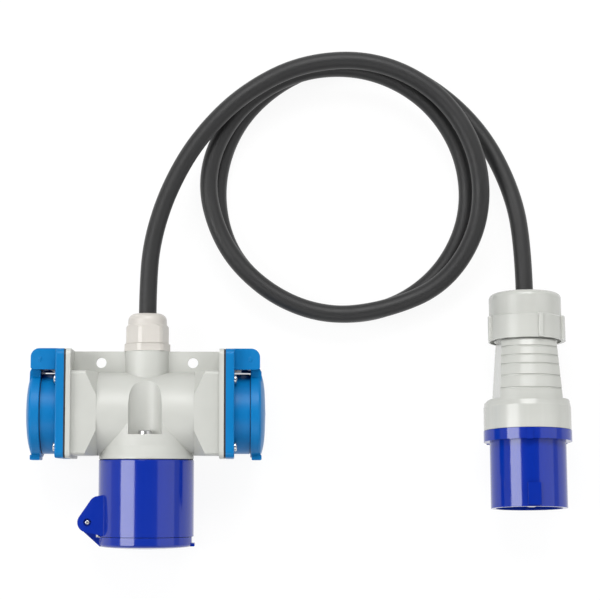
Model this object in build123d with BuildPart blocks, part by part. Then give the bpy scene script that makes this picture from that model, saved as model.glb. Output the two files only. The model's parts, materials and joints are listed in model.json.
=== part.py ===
from build123d import *
import os
from math import sin, cos, radians, degrees, tan, pi

os.makedirs("parts", exist_ok=True)

# ---------------------------------------------------------------- dimensions
# The box is a T: two domestic outlets back to back along X, a three-pin
# industrial coupling pointing to -Y, and a cable gland pointing to +Y.
# It lies on its back on the surface z = 0.
axis_y = 9.7            # height of the outlet axis above the origin, along Y
axis_z = 27.2           # height of both axes above the surface

barrel_r = 23.8         # round middle of the housing
bore_r = 21.4           # inside of the housing
block_half = 23.8       # half side of the square ends
block_end = 27.5        # the ends start here as octagons
cut_end = 34.1          # and are fully square from here
flange_in = 41.7        # inner face of a housing flange
flange_out = 44.3       # outer face of a housing flange
flange_low = -25.5
flange_high = 36.1
flange_half = 27.2      # half depth of the flanges: they rest on the surface
web_high = 35.8
web_t = 3.6
web_hole_x = 26.3       # hanging holes in the web
web_hole_y = 29.3
web_hole_r = 3.0
boss_r = 12.6
pocket_r = 9.5          # screwdriver pockets, front and back
pocket_z = 24.7
pocket_floor = -12.1
screw_z = 19.5          # coupling fixing screws
stub_end = -25.8

gasket_t = 1.1
frame_in = flange_out + gasket_t
frame_out = frame_in + 4.8
collar_r = 22.9
collar_end = 59.0
well_r = 19.3           # outlet well
well_depth = 17.5
contact_z = 9.5         # half pitch of the live contacts
fscrew = 19.0           # frame screws on a 38 x 38 square
hinge_x = 59.3
hinge_y = 30.2
hinge_pin_r = 1.5
run_fit = 0.05
lid_r = 25.0
lid_in = 59.4
lid_out = 68.1

cee_r = 27.2            # coupling
cee_top = -26.3
cee_mouth = -69.7
cee_bore_r = 22.6
cee_plate = -34.5
carrier_r = 18.6
pin_circle_r = 9.0
cpin_x = -32.4
cpin_y = -61.5
cee_pin_r = 1.4
clid_in = -70.0
clid_out = -77.0

cable_d = 10.2
gland_top = 57.6

plug_x = 219.6          # outer end of the plug nut, on its axis
plug_y = 79.9
plug_z = 21.2
plug_tilt = 4.2         # the open end of the plug is the higher one
plug_s0 = 80.1          # coupling face of the blue front, along the plug
plug_end = 124.5
grip_r = 25.2           # wide part of the grip
shroud_r = 22.0
shroud_in_r = 19.2

# ---------------------------------------------------------------- planes
def across_x(x):
    """Section across the outlets: local x is +Y, local y is +Z."""
    return Plane(origin=(x, axis_y, axis_z), x_dir=(0, 1, 0), z_dir=(1, 0, 0))


def across_y(y):
    """Section across the coupling and gland, facing +Y: local x is +X, local y is -Z."""
    return Plane(origin=(0, axis_y + y, axis_z), x_dir=(1, 0, 0), z_dir=(0, 1, 0))


def across_z(z):
    """Front view at height z from the axes: local x is +X, local y is +Y."""
    return Plane(origin=(0, axis_y, axis_z + z), x_dir=(1, 0, 0), z_dir=(0, 0, 1))


outlet_axis = Axis((0, axis_y, axis_z), (1, 0, 0))
coupling_axis = Axis((0, axis_y, axis_z), (0, 1, 0))

pt = radians(plug_tilt)
plug_dir = Vector(0, -cos(pt), sin(pt))


def across_plug(s):
    """Section across the plug at s from its nut: local x is +X, local y is up."""
    return Plane(origin=Vector(plug_x, plug_y, plug_z) + plug_dir * s, x_dir=(1, 0, 0), z_dir=plug_dir)


# side view along the plug: local x is +X, local y runs along the plug
plug_side = Plane(origin=(plug_x, plug_y, plug_z), x_dir=(1, 0, 0), z_dir=Vector(1, 0, 0).cross(plug_dir))
plug_axis = Axis((plug_x, plug_y, plug_z), tuple(plug_dir))


def save(name, part):
    part.label = name
    export_step(part, "parts/" + name + ".step")


# ---------------------------------------------------------------- housing
# square end whose corners are cut back by slanting planes to an octagon
with BuildPart() as end_block:
    with BuildSketch(across_x(block_end)):
        Rectangle(2 * block_half, 2 * block_half)
        fillet(vertices(), 2.0)
    extrude(amount=flange_in - block_end + 1.0)
    for turn in (45, -45):
        with BuildSketch(Plane(origin=(0, axis_y, axis_z), x_dir=(1, 0, 0), z_dir=(0, -sin(radians(turn)), cos(radians(turn))))):
            with BuildLine():
                Polyline((block_end - 1, -block_half + 1.5), (block_end, -block_half), (cut_end, -block_half * 2**0.5), (46, -block_half * 2**0.5),
                         (46, block_half * 2**0.5), (cut_end, block_half * 2**0.5), (block_end, block_half), (block_end - 1, block_half - 1.5), close=True)
            make_face()
        extrude(amount=50, both=True, mode=Mode.INTERSECT)

with BuildPart() as outer_form:
    with BuildSketch(across_x(-flange_in)):
        Circle(barrel_r)
    extrude(amount=2 * flange_in)
    add(end_block.part)
    mirror(end_block.part, about=Plane.YZ)
    with BuildSketch(across_z(0)):
        with BuildLine():
            Polyline((0, 0), (25.0, 0), (25.3, -12), (25.9, -18.5), (26.7, -22.6), (27.0, -24.4), (27.0, stub_end), (0, stub_end), close=True)
        make_face()
    revolve(axis=coupling_axis)

# walls round the two pockets, kept inside the outer form
with BuildPart() as pocket_walls:
    with BuildSketch(across_y(pocket_floor - 2.5)):
        with Locations((0, pocket_z), (0, -pocket_z)):
            Circle(pocket_r + 1.8)
    extrude(amount=35)
    add(outer_form.part, mode=Mode.INTERSECT)

with BuildPart() as housing_shell:
    add(outer_form.part)
    # end flanges
    with BuildSketch(across_x(flange_in), across_x(-flange_out)):
        with Locations(((flange_high + flange_low) / 2, 0)):
            RectangleRounded(flange_high - flange_low, 2 * flange_half, 3.5)
    extrude(amount=flange_out - flange_in)
    # web with the hanging holes
    with BuildSketch(across_z(-web_t / 2)):
        with Locations((0, (web_high + 18) / 2)):
            Rectangle(2 * flange_in + 1, web_high - 18)
    extrude(amount=web_t)
    # gland boss
    with BuildSketch(across_y(5)):
        Circle(boss_r)
    extrude(amount=35.8 - 5)
    # hollow inside
    with BuildSketch(across_x(-50)):
        Circle(bore_r)
    extrude(amount=100, mode=Mode.SUBTRACT)
    with BuildSketch(across_y(stub_end)):
        Circle(22.4)
    extrude(amount=-stub_end, mode=Mode.SUBTRACT)
    add(pocket_walls.part)
    # screw towers under the pockets
    with BuildSketch(across_y(stub_end)):
        with Locations((0, screw_z), (0, -screw_z)):
            Circle(4.2)
    extrude(amount=pocket_floor - stub_end - 0.5)
    with BuildSketch(across_y(pocket_floor)):
        with Locations((0, pocket_z), (0, -pocket_z)):
            Circle(pocket_r)
    extrude(amount=40, mode=Mode.SUBTRACT)
    with BuildSketch(across_y(stub_end - 1)):
        with Locations((0, screw_z), (0, -screw_z)):
            Circle(2.1)
    extrude(amount=20, mode=Mode.SUBTRACT)
    # gland bore
    with BuildSketch(across_y(15)):
        Circle(8.2)
    extrude(amount=25, mode=Mode.SUBTRACT)
    # hanging holes
    with BuildSketch(across_z(-10)):
        with Locations((-web_hole_x, web_hole_y), (web_hole_x, web_hole_y)):
            Circle(web_hole_r)
    extrude(amount=20, mode=Mode.SUBTRACT)
    # threads for the frame screws
    with BuildSketch(across_x(34.0), across_x(-45.0)):
        with GridLocations(2 * fscrew, 2 * fscrew, 2, 2):
            Circle(1.5)
    extrude(amount=11.0, mode=Mode.SUBTRACT)
save("housing_shell", housing_shell.part)

# ---------------------------------------------------------------- gland
hex_turn = 12.0
with BuildPart() as gland_body:
    with BuildSketch(across_y(27.5)):
        Circle(8.1)
    extrude(amount=35.9 - 27.5)
    with BuildSketch(across_y(35.9)):
        RegularPolygon(radius=12.0, side_count=6, major_radius=False, rotation=hex_turn)
        Circle(13.2, mode=Mode.INTERSECT)
    extrude(amount=4.2)
    # groove for the o-ring
    with BuildSketch(across_y(35.9)):
        Circle(11.6)
        Circle(9.0, mode=Mode.SUBTRACT)
    extrude(amount=0.9, mode=Mode.SUBTRACT)
    with BuildSketch(across_y(40.1)):
        Circle(9.4)
    extrude(amount=9.4)
    with BuildSketch(across_y(27)):
        Circle(6.2)
    extrude(amount=16.5, mode=Mode.SUBTRACT)
    with BuildSketch(across_y(43.5)):
        Circle(8.1)
    extrude(amount=10, mode=Mode.SUBTRACT)
    chamfer(gland_body.edges().filter_by(GeomType.CIRCLE).sort_by(Axis.Y)[0:1], 0.6)
save("gland_body", gland_body.part)

with BuildPart() as gland_o_ring:
    with BuildSketch(across_z(0)):
        with Locations((10.3, 36.3)):
            Rectangle(2.4, 0.9)
    revolve(axis=coupling_axis)
save("gland_o_ring", gland_o_ring.part)

with BuildPart() as gland_seal:
    with BuildSketch(across_z(0)):
        with BuildLine():
            Polyline((5.15, 43.7), (8.0, 43.7), (8.0, 50.2), (7.0, 53.8), (5.15, 53.8), close=True)
        make_face()
    revolve(axis=coupling_axis)
save("gland_seal", gland_seal.part)

with BuildPart() as gland_cap_nut:
    with BuildSketch(across_y(40.3)):
        RegularPolygon(radius=11.2, side_count=6, major_radius=False, rotation=hex_turn)
    extrude(amount=gland_top - 40.3)
    with BuildSketch(across_z(0)):
        with BuildLine():
            l1 = Polyline((0, 40.3), (12.3, 40.3), (12.3, 49.8), (11.2, 51.2), (11.1, 53.4))
            l2 = ThreePointArc((11.1, 53.4), (10.1, 56.2), (7.6, gland_top))
            l3 = Polyline((7.6, gland_top), (0, gland_top), (0, 40.3))
        make_face()
    revolve(axis=coupling_axis, mode=Mode.INTERSECT)
    with BuildSketch(across_z(0)):
        with BuildLine():
            Polyline((0, 40), (9.5, 40), (9.5, 50.6), (8.1, 51.6), (7.2, 54.2), (5.5, 54.2), (5.5, 58), (0, 58), close=True)
        make_face()
    revolve(axis=coupling_axis, mode=Mode.SUBTRACT)
save("gland_cap_nut", gland_cap_nut.part)

# ---------------------------------------------------------------- outlets (right side, mirrored to the left)
plate_mid = (flange_high + flange_low) / 2
plate_len = flange_high - flange_low

with BuildPart() as right_socket_gasket:
    with BuildSketch(across_x(flange_out)):
        with Locations((plate_mid, 0)):
            RectangleRounded(plate_len - 0.5, 2 * flange_half - 0.5, 3.3)
        Circle(20.6, mode=Mode.SUBTRACT)
        with GridLocations(2 * fscrew, 2 * fscrew, 2, 2):
            Circle(1.8, mode=Mode.SUBTRACT)
    extrude(amount=gasket_t)

with BuildPart() as right_socket_frame:
    with BuildSketch(across_x(frame_in)):
        with Locations((plate_mid, 0)):
            RectangleRounded(plate_len, 2 * flange_half, 3.5)
    extrude(amount=frame_out - frame_in)
    fillet(right_socket_frame.faces().sort_by(Axis.X)[-1].edges(), 0.8)
    with BuildSketch(across_x(frame_out - 1)):
        Circle(collar_r)
    extrude(amount=collar_end - frame_out + 1)
    # hinge block and its two ears
    with BuildSketch(across_z(-20)):
        with Locations(((50.0 + 54.2) / 2 - 0.5, 30.45)):
            Rectangle(5.2, 11.9)
    extrude(amount=40)
    with BuildSketch(across_z(14.6), across_z(-20)):
        with BuildLine():
            Polyline((49.5, 24.5), (49.5, 36.4), (64.7, 36.4), (64.7, 24.9), (62.4, 24.5), close=True)
        make_face()
        fillet(vertices().sort_by(Axis.X)[-2:].sort_by(Axis.Y)[-1:], 5.0)
        fillet(vertices().filter_by_position(Axis.X, 60, 66).sort_by(Axis.Y)[1:2], 1.2)
    extrude(amount=5.4)
    # bore for the insert, screw holes, pin hole
    with BuildSketch(across_x(frame_in)):
        Circle(20.4)
    extrude(amount=20, mode=Mode.SUBTRACT)
    with BuildSketch(across_x(frame_in)):
        with GridLocations(2 * fscrew, 2 * fscrew, 2, 2):
            Circle(1.6)
    extrude(amount=4.8, mode=Mode.SUBTRACT)
    with BuildSketch(across_z(-25)):
        with Locations((hinge_x, hinge_y)):
            Circle(hinge_pin_r + run_fit)
    extrude(amount=25 + 18.9, mode=Mode.SUBTRACT)
    with BuildSketch(across_z(18)):
        with Locations((hinge_x, hinge_y)):
            Circle(0.75)
    extrude(amount=5, mode=Mode.SUBTRACT)

with BuildPart() as right_socket_insert:
    with BuildSketch(across_x(38.3)):
        Circle(20.2)
    extrude(amount=58.8 - 38.3)
    with BuildSketch(across_x(25.5)):
        RectangleRounded(17.0, 32.0, 2.0)
    extrude(amount=14)
    # outlet well
    with BuildSketch(across_x(collar_end - 0.2 - well_depth)):
        Circle(well_r)
        # guide ribs at the sides
        with Locations((0, well_r), (0, -well_r)):
            Rectangle(4.8, 4.4, mode=Mode.SUBTRACT)
    extrude(amount=20, mode=Mode.SUBTRACT)
    # ribs end short of the rim
    with BuildSketch(across_x(56.0)):
        Circle(well_r)
    extrude(amount=5, mode=Mode.SUBTRACT)
    # pin holes and chambers for the contact sleeves
    with BuildSketch(across_x(37.0)):
        with Locations((0, contact_z), (0, -contact_z)):
            Circle(2.9)
    extrude(amount=8, mode=Mode.SUBTRACT)
    with BuildSketch(across_x(25.0)):
        with Locations((0, contact_z), (0, -contact_z)):
            Circle(3.65)
    extrude(amount=13.2, mode=Mode.SUBTRACT)
    # slots for the earth clips
    with BuildSketch(across_x(37.0)):
        with Locations((17.9, 0), (-17.9, 0)):
            Rectangle(1.4, 5.6)
    extrude(amount=6, mode=Mode.SUBTRACT)

with BuildPart() as right_contact_sleeves:
    with BuildSketch(across_x(26.5)):
        with Locations((0, contact_z), (0, -contact_z)):
            Circle(3.6)
            Circle(2.5, mode=Mode.SUBTRACT)
    extrude(amount=38.0 - 26.5)

with BuildPart() as right_earth_clips:
    with BuildSketch(across_z(-2.5)):
        with BuildLine():
            Polyline((36.0, 17.5), (52.6, 17.5), (54.2, 18.9), (53.6, 19.0), (52.2, 18.2), (36.0, 18.2), close=True)
        make_face()
        with BuildLine():
            Polyline((36.0, -17.5), (52.6, -17.5), (54.2, -18.9), (53.6, -19.0), (52.2, -18.2), (36.0, -18.2), close=True)
        make_face()
    extrude(amount=5.0)

with BuildPart() as right_frame_screws:
    with BuildSketch(across_x(34.6)):
        with GridLocations(2 * fscrew, 2 * fscrew, 2, 2):
            Circle(1.45)
    extrude(amount=frame_out - 34.6)
    with BuildSketch(across_x(frame_out)):
        with GridLocations(2 * fscrew, 2 * fscrew, 2, 2):
            Circle(2.6)
    extrude(amount=1.5)
    chamfer(right_frame_screws.edges().filter_by(GeomType.CIRCLE).group_by(Axis.X)[-1], 0.5)
    with BuildSketch(across_x(frame_out + 0.7)):
        with GridLocations(2 * fscrew, 2 * fscrew, 2, 2):
            Rectangle(2.8, 0.6)
            Rectangle(0.6, 2.8)
    extrude(amount=2.0, mode=Mode.SUBTRACT)

with BuildPart() as right_lid:
    with BuildSketch(across_z(0)):
        with BuildLine():
            Polyline((lid_in, 0), (lid_in, 24.6), (lid_in + 0.4, lid_r), (64.0, lid_r), (65.1, 24.3))
            Spline((65.1, 24.3), (66.5, 20.0), (67.7, 10.0), (lid_out, 0))
            Line((lid_out, 0), (lid_in, 0))
        make_face()
    revolve(axis=outlet_axis)
    # hinge arm between the ears
    with BuildSketch(across_z(-14.2)):
        with BuildLine():
            Polyline((59.7, hinge_y), (59.7, 16.0), (65.8, 16.0), (65.6, 23.4), (63.6, 27.2), (63.2, hinge_y), close=True)
        make_face()
        with Locations((hinge_x, hinge_y)):
            Circle(4.6)
    extrude(amount=28.4)
    # finger tab
    with BuildSketch(across_z(-8)):
        with Locations((63.0, -24.9)):
            RectangleRounded(5.6, 3.0, 0.7)
    extrude(amount=16)
    # hollow and seal groove
    with BuildSketch(across_z(0)):
        with BuildLine():
            Polyline((lid_in - 3, 0), (lid_in - 3, 22.8), (61.2, 22.8), (61.2, 20.0), (64.6, 19.4), (65.6, 14.0), (66.1, 6.0), (66.2, 0), close=True)
        make_face()
    revolve(axis=outlet_axis, mode=Mode.SUBTRACT)
    # pin hole and spring chamber
    with BuildSketch(across_z(-25)):
        with Locations((hinge_x, hinge_y)):
            Circle(hinge_pin_r + run_fit)
    extrude(amount=50, mode=Mode.SUBTRACT)
    with BuildSketch(across_z(-5)):
        with Locations((hinge_x, hinge_y + 1.0)):
            Rectangle(9.6, 9.4)
    extrude(amount=10, mode=Mode.SUBTRACT)

with BuildPart() as right_lid_seal:
    with BuildSketch(across_z(0)):
        with BuildLine():
            Polyline((59.35, 20.2), (61.15, 20.2), (61.15, 22.7), (59.35, 22.7), close=True)
        make_face()
        fillet(vertices().group_by(Axis.X)[0], 0.5)
    revolve(axis=outlet_axis)

with BuildPart() as right_lid_pin:
    with BuildSketch(across_z(-20.0)):
        with Locations((hinge_x, hinge_y)):
            Circle(hinge_pin_r)
    extrude(amount=38.8)
    chamfer(right_lid_pin.edges().filter_by(GeomType.CIRCLE), 0.3)

with BuildPart() as right_lid_spring:
    with BuildLine(Plane(origin=(hinge_x, axis_y + hinge_y, axis_z - 4.0))) as coil:
        Helix(pitch=1.25, height=8.0, radius=2.35)
    with BuildSketch(Plane(origin=coil.line @ 0, z_dir=coil.line % 0)):
        Circle(0.42)
    sweep(is_frenet=True)

for name, part in (
    ("socket_gasket", right_socket_gasket),
    ("socket_frame", right_socket_frame),
    ("socket_insert", right_socket_insert),
    ("contact_sleeves", right_contact_sleeves),
    ("earth_clips", right_earth_clips),
    ("frame_screws", right_frame_screws),
    ("lid", right_lid),
    ("lid_seal", right_lid_seal),
    ("lid_pin", right_lid_pin),
    ("lid_spring", right_lid_spring),
):
    save("right_" + name, part.part)
    with BuildPart() as left_piece:
        mirror(part.part, about=Plane.YZ)
    save("left_" + name, left_piece.part)

# ---------------------------------------------------------------- coupling
with BuildPart() as cee_gasket:
    with BuildSketch(across_y(stub_end)):
        Circle(26.6)
        Circle(22.6, mode=Mode.SUBTRACT)
    extrude(amount=cee_top - stub_end)
save("cee_gasket", cee_gasket.part)

with BuildPart() as cee_collar:
    with BuildSketch(across_y(cee_mouth)):
        Circle(cee_r)
    extrude(amount=cee_top - cee_mouth)
    # hinge ears
    with BuildSketch(across_z(8.6), across_z(-14.0)):
        with Locations((cpin_x, cpin_y)):
            Circle(5.6)
        with Locations((-26.2, -52.2)):
            Circle(5.5)
        with Locations((-19.0, -50.4)):
            Circle(5.0)
        with Locations((-22.0, -67.3)):
            Circle(2.2)
        make_hull()
    extrude(amount=5.4)
    # annular space for the shroud of a plug, with the keyway opposite the hinge
    with BuildSketch(across_y(cee_mouth - 1)):
        Circle(cee_bore_r)
        with Locations((23.6, 0)):
            Rectangle(4.0, 8.4)
    extrude(amount=cee_plate - cee_mouth + 1, mode=Mode.SUBTRACT)
    # recess behind the plate, its screw bosses and wire passage
    with BuildSketch(across_y(-30.5)):
        Circle(23.6)
        with Locations((0, screw_z), (0, -screw_z)):
            Circle(4.2, mode=Mode.SUBTRACT)
    extrude(amount=6, mode=Mode.SUBTRACT)
    with BuildSketch(across_y(-40)):
        Circle(14.9)
    extrude(amount=20, mode=Mode.SUBTRACT)
    with BuildSketch(across_y(-33.4)):
        with Locations((0, screw_z), (0, -screw_z)):
            Circle(1.95)
    extrude(amount=10, mode=Mode.SUBTRACT)
    with BuildSketch(across_z(-20)):
        with Locations((cpin_x, cpin_y)):
            Circle(cee_pin_r + run_fit)
    extrude(amount=40, mode=Mode.SUBTRACT)
    # counterbores round the pin ends
    with BuildSketch(across_z(12.6), across_z(-14.0)):
        with Locations((cpin_x, cpin_y)):
            Circle(2.25)
    extrude(amount=1.4, mode=Mode.SUBTRACT)
    fillet(cee_collar.edges().filter_by(GeomType.CIRCLE).filter_by_position(Axis.Y, axis_y + cee_top - 0.01, axis_y + cee_top + 0.01).sort_by(SortBy.RADIUS)[-1:], 0.4)
save("cee_collar", cee_collar.part)

pin_spots = [(pin_circle_r, 0.0), (-pin_circle_r / 2, pin_circle_r * sin(pi / 3)), (-pin_circle_r / 2, -pin_circle_r * sin(pi / 3))]

with BuildPart() as cee_contact_carrier:
    with BuildSketch(across_y(-68.7)):
        Circle(carrier_r)
    extrude(amount=-34.5 + 68.7)
    with BuildSketch(across_y(-36)):
        Circle(14.8)
    extrude(amount=11.6)
    with BuildSketch(across_y(-70)):
        with Locations(pin_spots[0]):
            Circle(3.2)
        with Locations(*pin_spots[1:]):
            Circle(2.7)
    extrude(amount=50, mode=Mode.SUBTRACT)
    with BuildSketch(across_y(-67.0)):
        with Locations(pin_spots[0]):
            Circle(3.95)
        with Locations(*pin_spots[1:]):
            Circle(3.45)
    extrude(amount=50, mode=Mode.SUBTRACT)
save("cee_contact_carrier", cee_contact_carrier.part)

with BuildPart() as cee_contact_sleeves:
    with BuildSketch(across_y(-66.9)):
        with Locations(pin_spots[0]):
            Circle(3.9)
            Circle(3.05, mode=Mode.SUBTRACT)
        with Locations(*pin_spots[1:]):
            Circle(3.4)
            Circle(2.55, mode=Mode.SUBTRACT)
    extrude(amount=46.9)
    # radial holes for the terminal screws
    with BuildSketch(Plane(origin=(pin_circle_r, axis_y - 22.2, axis_z), z_dir=(1, 0, 0))):
        Circle(1.25)
    extrude(amount=6, mode=Mode.SUBTRACT)
    for a in (120, 240):
        u = Vector(cos(radians(a)), 0, sin(radians(a)))
        with BuildSketch(Plane(origin=Vector(0, axis_y - 22.2, axis_z) + u * pin_circle_r, z_dir=u)):
            Circle(1.25)
        extrude(amount=6, mode=Mode.SUBTRACT)
save("cee_contact_sleeves", cee_contact_sleeves.part)

with BuildPart() as cee_terminal_screws:
    for a in (0, 120, 240):
        u = Vector(cos(radians(a)), 0, sin(radians(a)))
        inner = 3.1 if a == 0 else 2.6
        outer = 3.9 if a == 0 else 3.4
        with BuildSketch(Plane(origin=Vector(0, axis_y - 22.2, axis_z) + u * (pin_circle_r + 1.2), z_dir=u)):
            Circle(1.2)
        extrude(amount=outer + 0.1 - 1.2)
        with BuildSketch(Plane(origin=Vector(0, axis_y - 22.2, axis_z) + u * (pin_circle_r + outer + 0.1), z_dir=u)):
            Circle(1.9)
        extrude(amount=1.3)
save("cee_terminal_screws", cee_terminal_screws.part)

with BuildPart() as cee_fixing_screws:
    with BuildSketch(across_y(-33.0)):
        with Locations((0, screw_z), (0, -screw_z)):
            Circle(1.9)
    extrude(amount=pocket_floor + 33.0 + 0.05)
    with BuildSketch(across_y(pocket_floor + 0.05)):
        with Locations((0, screw_z), (0, -screw_z)):
            Circle(3.85)
    extrude(amount=2.3)
    chamfer(cee_fixing_screws.edges().filter_by(GeomType.CIRCLE).group_by(Axis.Y)[-1], 0.6)
    with BuildSketch(across_y(pocket_floor + 1.1)):
        with Locations((0, screw_z), (0, -screw_z)):
            Rectangle(4.2, 0.9)
            Rectangle(0.9, 4.2)
    extrude(amount=3, mode=Mode.SUBTRACT)
save("cee_fixing_screws", cee_fixing_screws.part)

with BuildPart() as cee_lid:
    with BuildSketch(across_z(0)):
        with BuildLine():
            Polyline((0, clid_in), (cee_r, clid_in), (cee_r, -74.2), (26.5, -75.0), (25.4, -75.5))
            Spline((25.4, -75.5), (19.0, -76.2), (10.0, -76.8), (0, clid_out))
            Line((0, clid_out), (0, clid_in))
        make_face()
    revolve(axis=coupling_axis)
    # hinge arm outside the collar
    with BuildSketch(across_z(-8.2)):
        with Locations((cpin_x, cpin_y)):
            Circle(4.5)
        with BuildLine():
            Polyline((-27.85, cpin_y), (-27.85, clid_in), (-20.0, clid_in), (-20.0, -74.6), (-25.6, -75.2), (-36.3, -65.6), (cpin_x - 1, cpin_y), close=True)
        make_face()
    extrude(amount=16.4)
    # small grip lip opposite the hinge
    with BuildSketch(across_z(-7)):
        with Locations((26.5, -74.3)):
            RectangleRounded(2.8, 1.9, 0.6)
    extrude(amount=14)
    with BuildSketch(across_z(0)):
        with BuildLine():
            Polyline((0, clid_in + 2), (26.1, clid_in + 2), (26.1, -71.8), (22.8, -71.8), (22.2, -74.0), (0, -74.6), close=True)
        make_face()
    revolve(axis=coupling_axis, mode=Mode.SUBTRACT)
    with BuildSketch(across_z(-20)):
        with Locations((cpin_x, cpin_y)):
            Circle(cee_pin_r + run_fit)
    extrude(amount=40, mode=Mode.SUBTRACT)
    # finger notch over the lip
    with BuildSketch(across_z(-12)):
        with Locations((28.0, -71.65)):
            Rectangle(3.6, 3.3)
    extrude(amount=24, mode=Mode.SUBTRACT)
    # spring chamber in the knuckle
    with BuildSketch(across_z(-3.4)):
        with Locations((cpin_x - 0.2, cpin_y + 0.3)):
            Rectangle(9.6, 9.2)
    extrude(amount=6.8, mode=Mode.SUBTRACT)
save("cee_lid", cee_lid.part)

with BuildPart() as cee_lid_seal:
    with BuildSketch(across_z(0)):
        with BuildLine():
            Polyline((23.0, -71.75), (26.0, -71.75), (26.0, clid_in + 0.0), (23.0, clid_in + 0.0), close=True)
        make_face()
        fillet(vertices().group_by(Axis.Y)[-1], 0.5)
    revolve(axis=coupling_axis)
save("cee_lid_seal", cee_lid_seal.part)

with BuildPart() as cee_lid_pin:
    with BuildSketch(across_z(-13.8)):
        with Locations((cpin_x, cpin_y)):
            Circle(cee_pin_r)
    extrude(amount=27.6)
    fillet(cee_lid_pin.edges().filter_by(GeomType.CIRCLE), 0.8)
save("cee_lid_pin", cee_lid_pin.part)

with BuildPart() as cee_lid_spring:
    with BuildLine(Plane(origin=(cpin_x, axis_y + cpin_y, axis_z - 2.6))) as cee_coil:
        Helix(pitch=1.3, height=5.2, radius=2.6)
    with BuildSketch(Plane(origin=cee_coil.line @ 0, z_dir=cee_coil.line % 0)):
        Circle(0.45)
    sweep(is_frenet=True)
save("cee_lid_spring", cee_lid_spring.part)


# ---------------------------------------------------------------- routes
def smooth_radii(points, share=0.45):
    """Corner radii of a route: each arc takes the same share of its shorter run."""
    v = [Vector(*p) for p in points]
    out = []
    for a, b, c in zip(v, v[1:], v[2:]):
        turn = radians((b - a).get_angle(c - b))
        out.append(share * min((b - a).length, (c - b).length) / tan(turn / 2))
    return out


def t_point(x, y, z):
    return (x, axis_y + y, axis_z + z)


# ---------------------------------------------------------------- inner wires, one colour to a node
wire_r = 1.4
brown_routes = [
    [t_point(-2.0, 26, 1.6), t_point(-2.6, 12, 3.6), t_point(-4.5, -6, 7.4), t_point(-4.6, -19.7, 7.8)],
    [t_point(-25.0, 0.0, 9.5), t_point(-15, -1.0, 9.3), t_point(-8.8, -8, 8.6), t_point(-8.4, -18.5, 8.4)],
    [t_point(25.0, 0.0, 9.5), t_point(12, -0.4, 9.8), t_point(1.2, -6, 9.6), t_point(-0.7, -18.5, 8.6)],
]
blue_routes = [[(x, y, 2 * axis_z - z) for x, y, z in route] for route in brown_routes]
earth_routes = [
    [t_point(2.4, 26, 0.0), t_point(3.4, 12, 0.2), t_point(8.6, -6, 0.0), t_point(9.0, -19.7, -0.1)],
    [t_point(25.0, -3.0, 0.0), t_point(19, -4.0, 0.2), t_point(13.4, -10, 0.1), t_point(12.9, -18.5, 0.0)],
    [t_point(-25.0, -3.0, 0.0), t_point(-11, -3.4, 0.1), t_point(0.4, -7, 0.0), t_point(5.0, -18.5, 0.1)],
]
for name, routes in (("wire_brown", brown_routes), ("wire_blue", blue_routes), ("wire_green_yellow", earth_routes)):
    with BuildPart() as wire:
        for route in routes:
            with BuildLine() as wire_path:
                FilletPolyline(*route, radius=smooth_radii(route))
            with BuildSketch(Plane(origin=wire_path.line @ 0, z_dir=wire_path.line % 0)):
                Circle(wire_r)
            sweep(path=wire_path.line)
    save(name, wire.part)

# ---------------------------------------------------------------- plug
with BuildPart() as plug_nut:
    with BuildSketch(plug_side):
        with BuildLine():
            Polyline((0, 28.0), (21.6, 28.0), (21.6, 14.6), (21.0, 13.8), (21.0, 3.0))
            ThreePointArc((21.0, 3.0), (20.1, 0.9), (18.0, 0.0))
            Polyline((18.0, 0.0), (0, 0), (0, 28.0))
        make_face()
    revolve(axis=plug_axis)
    # four wide grip blocks and four ribs
    with BuildSketch(across_plug(14.0)):
        with PolarLocations(0, 4, start_angle=90 + 23.6):
            with BuildLine():
                Polyline((0, 0), (34.7 * cos(radians(-27.5)), 34.7 * sin(radians(-27.5))), (34.7 * cos(radians(27.5)), 34.7 * sin(radians(27.5))), close=True)
            make_face()
        with PolarLocations(0, 4, start_angle=90 - 14.6):
            with Locations((15, 0)):
                Rectangle(30, 2.8)
        Circle(23.1, mode=Mode.INTERSECT)
    extrude(amount=13.9)
    fillet(plug_nut.edges().filter_by(plug_axis).filter_by(lambda e: (e.center() - (Vector(plug_x, plug_y, plug_z) + plug_dir * (e.center() - Vector(plug_x, plug_y, plug_z)).dot(plug_dir))).length > 22.6), 0.7)
    with BuildSketch(plug_side):
        with BuildLine():
            Polyline((0, 3.0), (17.6, 3.0), (18.7, 5.0), (18.7, 22.5), (20.6, 27.2), (20.6, 29.0), (0, 29.0), close=True)
        make_face()
    revolve(axis=plug_axis, mode=Mode.SUBTRACT)
    with BuildSketch(across_plug(-1)):
        Circle(5.5)
    extrude(amount=6, mode=Mode.SUBTRACT)
save("plug_nut", plug_nut.part)

with BuildPart() as plug_seal:
    with BuildSketch(across_plug(3.1)):
        Circle(13.0)
        Circle(5.2, mode=Mode.SUBTRACT)
    extrude(amount=4.6)
save("plug_seal", plug_seal.part)

grip_steps = []
for g in (32.4, 37.6, 42.7, 49.3, 56.7):
    r = 20.7 + 0.138 * (g - 32.4)
    grip_steps += [(r, g), (r - 0.4, g + 0.15), (r - 0.4, g + 0.95), (r + 0.14, g + 1.15)]

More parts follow.
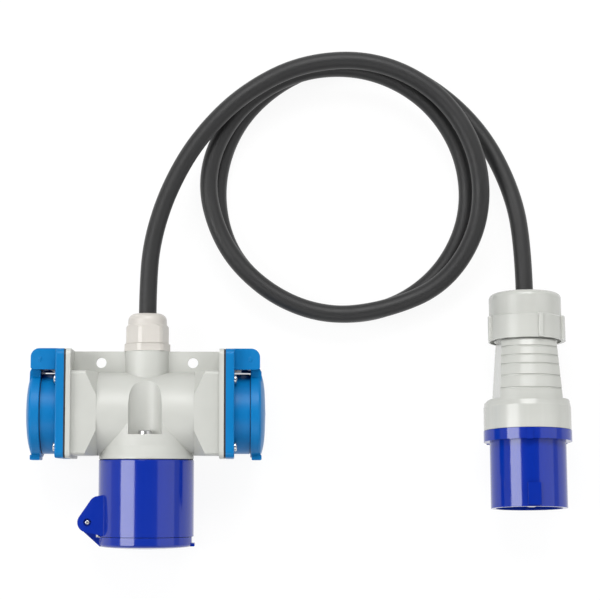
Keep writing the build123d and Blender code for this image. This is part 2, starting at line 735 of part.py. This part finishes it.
with BuildPart() as plug_grip:
    with BuildSketch(plug_side):
        with BuildLine():
            Polyline((0, 8.0), (18.3, 8.0), (18.3, 28.3), (19.8, 28.7), *grip_steps, (24.6, 64.0), (grip_r, 66.8), (grip_r, 79.9), (0, 79.9), close=True)
        make_face()
    revolve(axis=plug_axis)
    # sides drawn in for the fingers
    with BuildSketch(plug_side.offset(-30)):
        for side in (1, -1):
            with BuildLine():
                Polyline((side * 15.9, 28.1), (side * 18.0, 62.6), (side * 22.3, 62.6))
                ThreePointArc((side * 22.3, 62.6), (side * 24.4, 63.8), (side * 25.3, 66.6))
                Polyline((side * 25.3, 66.6), (side * 32, 66.6), (side * 32, 28.1), (side * 15.9, 28.1))
            make_face()
    extrude(amount=60, mode=Mode.SUBTRACT)
    with BuildSketch(plug_side):
        with BuildLine():
            Polyline((0, 7), (14.6, 7), (14.6, 58.0), (16.4, 63.0), (21.0, 66.5), (21.0, 81), (0, 81), close=True)
        make_face()
    revolve(axis=plug_axis, mode=Mode.SUBTRACT)
save("plug_grip", plug_grip.part)

key_turn = -1.0          # key and earth pin, from straight up
with BuildPart() as plug_shroud:
    with BuildSketch(across_plug(plug_s0)):
        Circle(25.4)
    extrude(amount=6.3)
    with BuildSketch(across_plug(plug_s0 + 5)):
        Circle(shroud_r)
    extrude(amount=plug_end - plug_s0 - 5)
    # lugs on the flange and the key near the rim
    with BuildSketch(across_plug(plug_s0 + 0.6)):
        with PolarLocations(0, 3, start_angle=96):
            with Locations((12.9, 0)):
                Rectangle(27.4, 3.6)
        Circle(26.1, mode=Mode.INTERSECT)
        Circle(24.0, mode=Mode.SUBTRACT)
    extrude(amount=6.0)
    with BuildSketch(across_plug(plug_end - 13.4)):
        with PolarLocations(0, 1, start_angle=90 - key_turn):
            with Locations((21.9, 0)):
                Rectangle(3.6, 7.4)
    extrude(amount=12.6)
    with BuildSketch(across_plug(plug_s0 + 7.2)):
        Circle(shroud_in_r)
    extrude(amount=60, mode=Mode.SUBTRACT)
    with BuildSketch(across_plug(plug_s0 - 1)):
        Circle(15.9)
    extrude(amount=20, mode=Mode.SUBTRACT)
save("plug_shroud", plug_shroud.part)

plug_pins = [(pin_circle_r * cos(radians(90 - key_turn + k * 120)), pin_circle_r * sin(radians(90 - key_turn + k * 120))) for k in range(3)]
with BuildPart() as plug_pin_carrier:
    with BuildSketch(across_plug(plug_s0 + 7.3)):
        Circle(19.0)
    extrude(amount=4.0)
    with BuildSketch(across_plug(plug_s0 - 9)):
        Circle(15.7)
    extrude(amount=18)
    with BuildSketch(across_plug(plug_s0 - 10)):
        with Locations(plug_pins[0]):
            Circle(2.85)
        with Locations(*plug_pins[1:]):
            Circle(2.35)
    extrude(amount=30, mode=Mode.SUBTRACT)
save("plug_pin_carrier", plug_pin_carrier.part)

# shouldered pins: thinner where they sit in the carrier
with BuildPart() as plug_line_pins:
    with BuildSketch(across_plug(plug_s0 - 13)):
        with Locations(*plug_pins[1:]):
            Circle(2.3)
    extrude(amount=13 + 11.5)
    with BuildSketch(across_plug(plug_s0 + 11.35)):
        with Locations(*plug_pins[1:]):
            Circle(2.5)
    extrude(amount=plug_end - 3.0 - plug_s0 - 11.35)
    fillet(plug_line_pins.edges().filter_by(GeomType.CIRCLE).sort_by(Axis((plug_x, plug_y, plug_z), tuple(plug_dir)))[-2:], 1.6)
save("plug_line_pins", plug_line_pins.part)

with BuildPart() as plug_earth_pin:
    with BuildSketch(across_plug(plug_s0 - 13)):
        with Locations(plug_pins[0]):
            Circle(2.8)
    extrude(amount=13 + 11.5)
    with BuildSketch(across_plug(plug_s0 + 11.35)):
        with Locations(plug_pins[0]):
            Circle(3.0)
    extrude(amount=plug_end - 0.3 - plug_s0 - 11.35)
    fillet(plug_earth_pin.edges().filter_by(GeomType.CIRCLE).sort_by(Axis((plug_x, plug_y, plug_z), tuple(plug_dir)))[-1:], 1.4)
save("plug_earth_pin", plug_earth_pin.part)

# ---------------------------------------------------------------- cable
# from the gland, two and a half loops lying on each other, to the plug nut
cable_points = [
    (0.0, 57.7, 27.2), (0.0, 84.4, 27.2), (2.3, 110.9, 27.0), (11.6, 140.6, 26.6), (28.4, 170.5, 26.4),
    (55.1, 197.9, 26.4), (90.6, 216.3, 26.4), (133.3, 218.2, 26.4), (171.3, 198.6, 26.4), (193.5, 162.2, 26.2),
    (194.8, 120.6, 21.4), (173.8, 86.0, 17.5), (138.5, 70.9, 16.1), (102.8, 67.1, 16.1), (68.9, 80.8, 16.0),
    (42.0, 109.0, 16.0), (31.3, 150.3, 16.0), (49.6, 190.0, 15.9), (85.4, 213.4, 15.9), (126.3, 216.0, 15.9),
    (162.1, 198.9, 15.9), (184.8, 167.6, 13.2), (189.7, 130.1, 8.7), (174.7, 95.7, 5.9), (145.3, 73.1, 5.2),
    (109.2, 67.7, 5.2), (74.1, 78.4, 5.2), (45.9, 105.0, 5.2), (37.6, 144.3, 5.2), (49.6, 183.5, 5.2),
    (79.9, 212.0, 5.2), (120.7, 224.8, 5.2), (161.9, 211.2, 5.2), (195.7, 181.3, 7.8), (214.6, 141.2, 14.6),
    (219.6, 104.8, 19.4), (219.6, 71.9, 21.8),
]
radii = smooth_radii(cable_points)
print("cable radii", [round(r, 1) for r in radii], "smallest", round(min(radii), 1))
with BuildPart() as cord:
    with BuildLine() as cable_path:
        FilletPolyline(*cable_points, radius=radii)
    with BuildSketch(Plane(origin=cable_path.line @ 0, z_dir=cable_path.line % 0)):
        Circle(cable_d / 2)
    sweep(path=cable_path.line)
print("cable length", round(cable_path.wire().length, 1), "volume", round(cord.part.volume), "section times length", round(pi * cable_d**2 / 4 * cable_path.wire().length))
save("cord", cord.part)
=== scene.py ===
import json
import math
import bpy
import bmesh
from mathutils import Matrix, Vector


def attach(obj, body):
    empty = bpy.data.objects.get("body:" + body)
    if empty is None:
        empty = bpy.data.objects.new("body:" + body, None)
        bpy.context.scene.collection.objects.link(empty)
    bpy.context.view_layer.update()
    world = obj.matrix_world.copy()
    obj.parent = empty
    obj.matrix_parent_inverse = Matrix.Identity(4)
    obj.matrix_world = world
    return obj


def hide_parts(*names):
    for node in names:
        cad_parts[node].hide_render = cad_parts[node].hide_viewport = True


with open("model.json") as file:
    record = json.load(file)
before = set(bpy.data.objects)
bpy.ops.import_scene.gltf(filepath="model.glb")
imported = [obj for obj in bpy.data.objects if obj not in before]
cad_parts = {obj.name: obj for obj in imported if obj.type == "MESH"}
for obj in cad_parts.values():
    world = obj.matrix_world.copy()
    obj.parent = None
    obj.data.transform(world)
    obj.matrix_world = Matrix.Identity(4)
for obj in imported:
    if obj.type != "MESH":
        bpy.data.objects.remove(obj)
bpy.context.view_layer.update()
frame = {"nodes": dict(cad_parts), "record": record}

nodes = frame["nodes"]
scene = bpy.context.scene
scene.view_settings.view_transform = "Standard"
scene.view_settings.look = "None"

# ------------------------------------------------------------------ camera
eye = Vector((0.0520, -0.0275, 1.1000))
aim = Vector((0.08797, 0.07575, 0.0272))
look = (aim - eye).normalized()
right = look.cross(Vector((0, 1, 0))).normalized()
up = right.cross(look)
cam_data = bpy.data.cameras.new("camera")
cam_data.sensor_width = 36.0
cam_data.lens = 111.7
cam_data.clip_start = 0.05
cam_data.clip_end = 20.0
cam = bpy.data.objects.new("camera", cam_data)
cam.matrix_world = Matrix((
    (right.x, up.x, -look.x, eye.x),
    (right.y, up.y, -look.y, eye.y),
    (right.z, up.z, -look.z, eye.z),
    (0, 0, 0, 1),
))
scene.collection.objects.link(cam)
scene.camera = cam

# ------------------------------------------------------------------ cable
CABLE_D = 0.0102
cable_points = [
    (0.0, 0.0577, 0.0272), (0.0, 0.0844, 0.0272), (0.0023, 0.1109, 0.0270), (0.0116, 0.1406, 0.0266),
    (0.0284, 0.1705, 0.0264), (0.0551, 0.1979, 0.0264), (0.0906, 0.2163, 0.0264), (0.1333, 0.2182, 0.0264),
    (0.1713, 0.1986, 0.0264), (0.1935, 0.1622, 0.0262), (0.1948, 0.1206, 0.0214), (0.1738, 0.0860, 0.0175),
    (0.1385, 0.0709, 0.0161), (0.1028, 0.0671, 0.0161), (0.0689, 0.0808, 0.0160), (0.0420, 0.1090, 0.0160),
    (0.0313, 0.1503, 0.0160), (0.0496, 0.1900, 0.0159), (0.0854, 0.2134, 0.0159), (0.1263, 0.2160, 0.0159),
    (0.1621, 0.1989, 0.0159), (0.1848, 0.1676, 0.0132), (0.1897, 0.1301, 0.0087), (0.1747, 0.0957, 0.0059),
    (0.1453, 0.0731, 0.0052), (0.1092, 0.0677, 0.0052), (0.0741, 0.0784, 0.0052), (0.0459, 0.1050, 0.0052),
    (0.0376, 0.1443, 0.0052), (0.0496, 0.1835, 0.0052), (0.0799, 0.2120, 0.0052), (0.1207, 0.2248, 0.0052),
    (0.1619, 0.2112, 0.0052), (0.1957, 0.1813, 0.0078), (0.2146, 0.1412, 0.0146), (0.2196, 0.1048, 0.0194),
    (0.2196, 0.0719, 0.0218),
]
cable_curve = bpy.data.curves.new("rubber_cable", "CURVE")
cable_curve.dimensions = "3D"
cable_spline = cable_curve.splines.new("NURBS")
cable_spline.points.add(len(cable_points) - 1)
for p, co in zip(cable_spline.points, cable_points):
    p.co = (*co, 1.0)
    p.radius = CABLE_D / 2
cable_spline.order_u = 3
cable_spline.use_endpoint_u = True
cable_spline.resolution_u = 24
cable_curve.bevel_depth = 1.0
cable_curve.bevel_resolution = 12
cable_curve.use_fill_caps = True
cable = bpy.data.objects.new("rubber_cable", cable_curve)
scene.collection.objects.link(cable)
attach(cable, "box")
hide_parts("cord")


# ------------------------------------------------------------------ materials
def srgb(r, g, b):
    def lin(v):
        v /= 255.0
        return v / 12.92 if v <= 0.04045 else ((v + 0.055) / 1.055) ** 2.4
    return (lin(r), lin(g), lin(b), 1.0)


def new_material(name):
    m = bpy.data.materials.new(name)
    m.use_nodes = True
    nt = m.node_tree
    bsdf = nt.nodes["Principled BSDF"]
    return m, nt, bsdf


def noise(nt, scale, detail=4.0, rough=0.55, vector=None):
    n = nt.nodes.new("ShaderNodeTexNoise")
    n.inputs["Scale"].default_value = scale
    n.inputs["Detail"].default_value = detail
    n.inputs["Roughness"].default_value = rough
    if vector is not None:
        nt.links.new(vector, n.inputs["Vector"])
    return n


def ramp(nt, source, stops):
    r = nt.nodes.new("ShaderNodeValToRGB")
    e = r.color_ramp.elements
    while len(e) < len(stops):
        e.new(0.5)
    for el, (pos, col) in zip(e, stops):
        el.position = pos
        el.color = col if len(col) == 4 else (*col, 1.0)
    nt.links.new(source, r.inputs["Fac"])
    return r


def coords(nt):
    return nt.nodes.new("ShaderNodeTexCoord").outputs["Object"]


def moulded(name, colour, rough, spread=0.05, tone=0.04, grain=0.05, grain_scale=1400.0, coat=0.0, coat_rough=0.2, ior=1.5, painted_edge_highlight=0.0, specular=0.5):
    """Moulded plastic: faint colour drift, uneven gloss, a very fine spark-eroded grain and an optional painted
    highlight that lightens sharp convex edges.
    """
    m, nt, b = new_material(name)
    co = coords(nt)
    big = noise(nt, 38.0, 3.0, 0.5, co)
    lo = tuple(c * (1 - tone) for c in colour[:3])
    hi = tuple(min(1.0, c * (1 + tone)) for c in colour[:3])
    col = ramp(nt, big.outputs["Fac"], [(0.3, lo), (0.7, hi)])
    last = col.outputs["Color"]
    # painted highlight: sharp convex edges (high pointiness) are blended towards a paler copy of the colour, standing
    # in for light caught by the edges
    if painted_edge_highlight > 0:
        geo = nt.nodes.new("ShaderNodeNewGeometry")
        pr = ramp(nt, geo.outputs["Pointiness"], [(0.5, (0, 0, 0)), (0.62, (1, 1, 1))])
        mix = nt.nodes.new("ShaderNodeMixRGB")
        mix.inputs["Color2"].default_value = (*[min(1.0, c * 1.15 + 0.02) for c in colour[:3]], 1.0)
        mul = nt.nodes.new("ShaderNodeMath")
        mul.operation = "MULTIPLY"
        mul.inputs[1].default_value = painted_edge_highlight
        nt.links.new(pr.outputs["Color"], mul.inputs[0])
        nt.links.new(mul.outputs[0], mix.inputs["Fac"])
        nt.links.new(last, mix.inputs["Color1"])
        last = mix.outputs["Color"]
    nt.links.new(last, b.inputs["Base Color"])
    mid = noise(nt, 160.0, 5.0, 0.6, co)
    rr = ramp(nt, mid.outputs["Fac"], [(0.3, (rough - spread,) * 3), (0.7, (rough + spread,) * 3)])
    nt.links.new(rr.outputs["Color"], b.inputs["Roughness"])
    fine = noise(nt, grain_scale, 2.0, 0.5, co)
    bump = nt.nodes.new("ShaderNodeBump")
    bump.inputs["Strength"].default_value = grain
    bump.inputs["Distance"].default_value = 0.0002
    nt.links.new(fine.outputs["Fac"], bump.inputs["Height"])
    nt.links.new(bump.outputs["Normal"], b.inputs["Normal"])
    b.inputs["IOR"].default_value = ior
    b.inputs["Specular IOR Level"].default_value = specular
    b.inputs["Coat Weight"].default_value = coat
    b.inputs["Coat Roughness"].default_value = coat_rough
    return m


def metal(name, colour, rough, scale=(40.0, 900.0, 40.0)):
    m, nt, b = new_material(name)
    co = coords(nt)
    mp = nt.nodes.new("ShaderNodeMapping")
    mp.inputs["Scale"].default_value = scale
    nt.links.new(co, mp.inputs["Vector"])
    n = noise(nt, 1.0, 4.0, 0.6, mp.outputs["Vector"])
    col = ramp(nt, n.outputs["Fac"], [(0.3, tuple(c * 0.86 for c in colour[:3])), (0.7, colour[:3])])
    nt.links.new(col.outputs["Color"], b.inputs["Base Color"])
    rr = ramp(nt, n.outputs["Fac"], [(0.3, (rough * 0.75,) * 3), (0.7, (rough * 1.25,) * 3)])
    nt.links.new(rr.outputs["Color"], b.inputs["Roughness"])
    b.inputs["Metallic"].default_value = 1.0
    bump = nt.nodes.new("ShaderNodeBump")
    bump.inputs["Strength"].default_value = 0.08
    bump.inputs["Distance"].default_value = 0.0001
    nt.links.new(n.outputs["Fac"], bump.inputs["Height"])
    nt.links.new(bump.outputs["Normal"], b.inputs["Normal"])
    return m


def rubber(name, colour, rough, grain=0.25, scale=900.0, tone=0.15):
    m, nt, b = new_material(name)
    co = coords(nt)
    big = noise(nt, 60.0, 5.0, 0.6, co)
    col = ramp(nt, big.outputs["Fac"], [(0.3, tuple(c * (1 - tone) for c in colour[:3])), (0.7, tuple(c * (1 + tone) for c in colour[:3]))])
    nt.links.new(col.outputs["Color"], b.inputs["Base Color"])
    rr = ramp(nt, big.outputs["Fac"], [(0.3, (rough - 0.05,) * 3), (0.7, (rough + 0.05,) * 3)])
    nt.links.new(rr.outputs["Color"], b.inputs["Roughness"])
    fine = noise(nt, scale, 3.0, 0.6, co)
    bump = nt.nodes.new("ShaderNodeBump")
    bump.inputs["Strength"].default_value = grain
    bump.inputs["Distance"].default_value = 0.00015
    nt.links.new(fine.outputs["Fac"], bump.inputs["Height"])
    nt.links.new(bump.outputs["Normal"], b.inputs["Normal"])
    b.inputs["Sheen Weight"].default_value = 0.12
    b.inputs["Sheen Roughness"].default_value = 0.5
    return m


# a nonzero edge strength lightens that plastic's convex edges with a painted highlight
mats = {
    "housing_grey": moulded("housing_grey", srgb(180, 181, 176), 0.42, grain=0.10, painted_edge_highlight=0.3),
    "gland_grey": moulded("gland_grey", srgb(188, 184, 178), 0.36, grain=0.05, painted_edge_highlight=0.5),
    "plug_grey": moulded("plug_grey", srgb(177, 178, 173), 0.22, grain=0.08, painted_edge_highlight=0.5),
    "azure_plastic": moulded("azure_plastic", srgb(0, 107, 168), 0.36, tone=0.03, grain=0.05, painted_edge_highlight=0.2, specular=0.16),
    "royal_plastic": moulded("royal_plastic", srgb(2, 38, 142), 0.11, spread=0.03, tone=0.03, grain=0.015, painted_edge_highlight=0.2),
    "seal_rubber": rubber("seal_rubber", srgb(32, 32, 34), 0.65),
    "lid_seal_rubber": rubber("lid_seal_rubber", srgb(26, 32, 44), 0.6),
    "cable_rubber": rubber("cable_rubber", srgb(15, 15, 16), 0.52, grain=0.35),
    "contact_brass": metal("contact_brass", srgb(214, 178, 104), 0.28),
    "nickel_spring": metal("nickel_spring", srgb(200, 200, 198), 0.25),
    "screw_steel": metal("screw_steel", srgb(205, 205, 205), 0.30),
    "pin_steel": metal("pin_steel", srgb(200, 200, 202), 0.28),
    "pin_nickel": metal("pin_nickel", srgb(208, 204, 196), 0.22),
    "spring_steel": metal("spring_steel", srgb(225, 225, 226), 0.28),
    "wire_brown": rubber("wire_brown", srgb(96, 58, 34), 0.45),
    "wire_blue": rubber("wire_blue", srgb(30, 84, 170), 0.45),
    "wire_green_yellow": rubber("wire_green_yellow", srgb(140, 170, 40), 0.45),
}
slot_of = {s["node"]: s["material_slot"] for s in frame["record"]["subparts"]}
for n, o in nodes.items():
    m = mats[slot_of[n]]
    if not o.material_slots:
        o.data.materials.append(m)
    for s in o.material_slots:
        s.material = m
cable_curve.materials.append(mats["cable_rubber"])

# ------------------------------------------------------------------ small pieces
def lathe_x(name, profile, centre_y, centre_z, body, slot, segments=96, closed=True):
    """Ring turned about the outlet axis, from (x, radius) points in metres."""
    me = bpy.data.meshes.new(name)
    bm = bmesh.new()
    rings = []
    for k in range(segments):
        a = 2 * math.pi * k / segments
        rings.append([bm.verts.new((x, centre_y + r * math.cos(a), centre_z + r * math.sin(a))) for x, r in profile])
    n = len(profile)
    for k in range(segments):
        a, b = rings[k], rings[(k + 1) % segments]
        for j in range(n if closed else n - 1):
            bm.faces.new((a[j], a[(j + 1) % n], b[(j + 1) % n], b[j]))
    bmesh.ops.recalc_face_normals(bm, faces=bm.faces)
    for f in bm.faces:
        f.smooth = True
    bm.to_mesh(me)
    bm.free()
    o = bpy.data.objects.new(name, me)
    me.materials.append(mats[slot])
    scene.collection.objects.link(o)
    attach(o, body)
    return o


AXIS_Y, AXIS_Z = 0.0097, 0.0272
HINGE_TOP = max(v.co.z for v in nodes["right_socket_frame"].data.vertices if abs(v.co.x - 0.0593) < 0.0015 and abs(v.co.y - AXIS_Y - 0.0302) < 0.0015)
# each lid seal is a rubber ring with a soft lip that meets the rim of its collar
for side, s in (("right", 1.0), ("left", -1.0)):
    prof = [(0.06110, 0.02025), (0.06110, 0.02265), (0.05955, 0.02268), (0.05915, 0.02262), (0.05901, 0.02235),
            (0.05901, 0.02195), (0.05925, 0.02150), (0.05985, 0.02100), (0.06040, 0.02050), (0.06080, 0.02028)]
    ring = lathe_x(side + "_lid_seal_ring", [(s * x, r) for x, r in prof], AXIS_Y, AXIS_Z, side + "_lid", "lid_seal_rubber")
    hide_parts(side + "_lid_seal")


def domed_cap(name, x, y, z, rx, ry, height, body, slot):
    """Low moulded dome on the front of an ear, over the blind end of the hinge pin."""
    me = bpy.data.meshes.new(name)
    bm = bmesh.new()
    rings = 10
    seg = 40
    top = bm.verts.new((x, y, z + height))
    loops = []
    for i in range(1, rings + 1):
        t = i / rings
        h = height * math.cos(t * math.pi / 2)
        loops.append([bm.verts.new((x + rx * math.sin(t * math.pi / 2) * math.cos(2 * math.pi * k / seg),
                                    y + ry * math.sin(t * math.pi / 2) * math.sin(2 * math.pi * k / seg), z + h)) for k in range(seg)])
    foot = [bm.verts.new((v.co.x, v.co.y, z - 0.0003)) for v in loops[-1]]
    for k in range(seg):
        bm.faces.new((top, loops[0][k], loops[0][(k + 1) % seg]))
        for i in range(rings - 1):
            bm.faces.new((loops[i][k], loops[i + 1][k], loops[i + 1][(k + 1) % seg], loops[i][(k + 1) % seg]))
        bm.faces.new((loops[-1][k], foot[k], foot[(k + 1) % seg], loops[-1][(k + 1) % seg]))
    bm.faces.new(list(reversed(foot)))
    bmesh.ops.recalc_face_normals(bm, faces=bm.faces)
    for f in bm.faces:
        f.smooth = len(f.verts) < 5
    bm.to_mesh(me)
    bm.free()
    o = bpy.data.objects.new(name, me)
    me.materials.append(mats[slot])
    scene.collection.objects.link(o)
    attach(o, body)
    return o


for side, s in (("right", 1.0), ("left", -1.0)):
    domed_cap(side + "_hinge_cap", s * 0.0593, AXIS_Y + 0.0302, HINGE_TOP, 0.0011, 0.0016, 0.00035, "box", "azure_plastic")

# ------------------------------------------------------------------ floor and light
def plane(name, size, location):
    me = bpy.data.meshes.new(name)
    bm = bmesh.new()
    bmesh.ops.create_grid(bm, x_segments=1, y_segments=1, size=size / 2)
    bm.to_mesh(me)
    bm.free()
    o = bpy.data.objects.new(name, me)
    o.location = location
    scene.collection.objects.link(o)
    return o


floor = plane("floor", 30.0, (0.1, 0.1, -0.0002))
fm, fnt, fb = new_material("floor_white")
fb.inputs["Base Color"].default_value = (0.10, 0.10, 0.10, 1)
fb.inputs["Roughness"].default_value = 0.9
fb.inputs["Specular IOR Level"].default_value = 0.1
fb.inputs["Emission Color"].default_value = (1.0, 1.0, 1.0, 1)
fb.inputs["Emission Strength"].default_value = 0.90
floor.data.materials.append(fm)

# light tent: dark overhead round the camera, pale walls towards the horizon
world = bpy.data.worlds.new("studio")
scene.world = world
world.use_nodes = True
wnt = world.node_tree
wback = wnt.nodes["Background"]
wback.inputs["Strength"].default_value = 1.0
wco = wnt.nodes.new("ShaderNodeTexCoord")
wsep = wnt.nodes.new("ShaderNodeSeparateXYZ")
wnt.links.new(wco.outputs["Generated"], wsep.inputs["Vector"])
wramp = wnt.nodes.new("ShaderNodeValToRGB")
wels = wramp.color_ramp.elements
wels[0].position, wels[0].color = 0.10, (0.50, 0.50, 0.50, 1)
wels[1].position, wels[1].color = 0.98, (0.10, 0.10, 0.10, 1)
wel = wels.new(0.80)
wel.color = (0.30, 0.30, 0.30, 1)
wnt.links.new(wsep.outputs["Z"], wramp.inputs["Fac"])
wnt.links.new(wramp.outputs["Color"], wback.inputs["Color"])


def area(name, location, target, size_x, size_y, power, colour=(1, 1, 1)):
    d = bpy.data.lights.new(name, "AREA")
    d.shape = "RECTANGLE"
    d.size, d.size_y = size_x, size_y
    d.energy = power
    d.color = colour
    o = bpy.data.objects.new(name, d)
    loc, tgt = Vector(location), Vector(target)
    zax = (loc - tgt).normalized()
    xax = Vector((0, 1, 0)).cross(zax).normalized()
    yax = zax.cross(xax)
    o.matrix_world = Matrix(((xax.x, yax.x, zax.x, loc.x), (xax.y, yax.y, zax.y, loc.y), (xax.z, yax.z, zax.z, loc.z), (0, 0, 0, 1)))
    scene.collection.objects.link(o)
    return o


def softbox(name, side_deg, distance, width, length, radiance, along=0.07):
    """Long softbox parallel to Y, seen from the part at side_deg from straight up (left is negative)."""
    a = math.radians(side_deg)
    loc = (0.09 + distance * math.sin(a), along, 0.03 + distance * math.cos(a))
    area(name, loc, (0.09, along, 0.03), width, length, radiance * math.pi * width * length)


softbox("key_left", -45.0, 1.9, 1.16, 0.66, 7.4, along=0.10)
softbox("fill_right", 50.0, 1.9, 1.60, 2.4, 0.85)
# overheads beyond the two ends of the picture
area("top_soft", (0.09, 0.07 + 1.22, 0.03 + 1.46), (0.09, 0.07, 0.03), 1.3, 0.9, 7.2 * math.pi * 1.3 * 0.9)
area("bottom_soft", (0.09, 0.07 - 1.22, 0.03 + 1.46), (0.09, 0.07, 0.03), 1.3, 0.9, 2.4 * math.pi * 1.3 * 0.9)
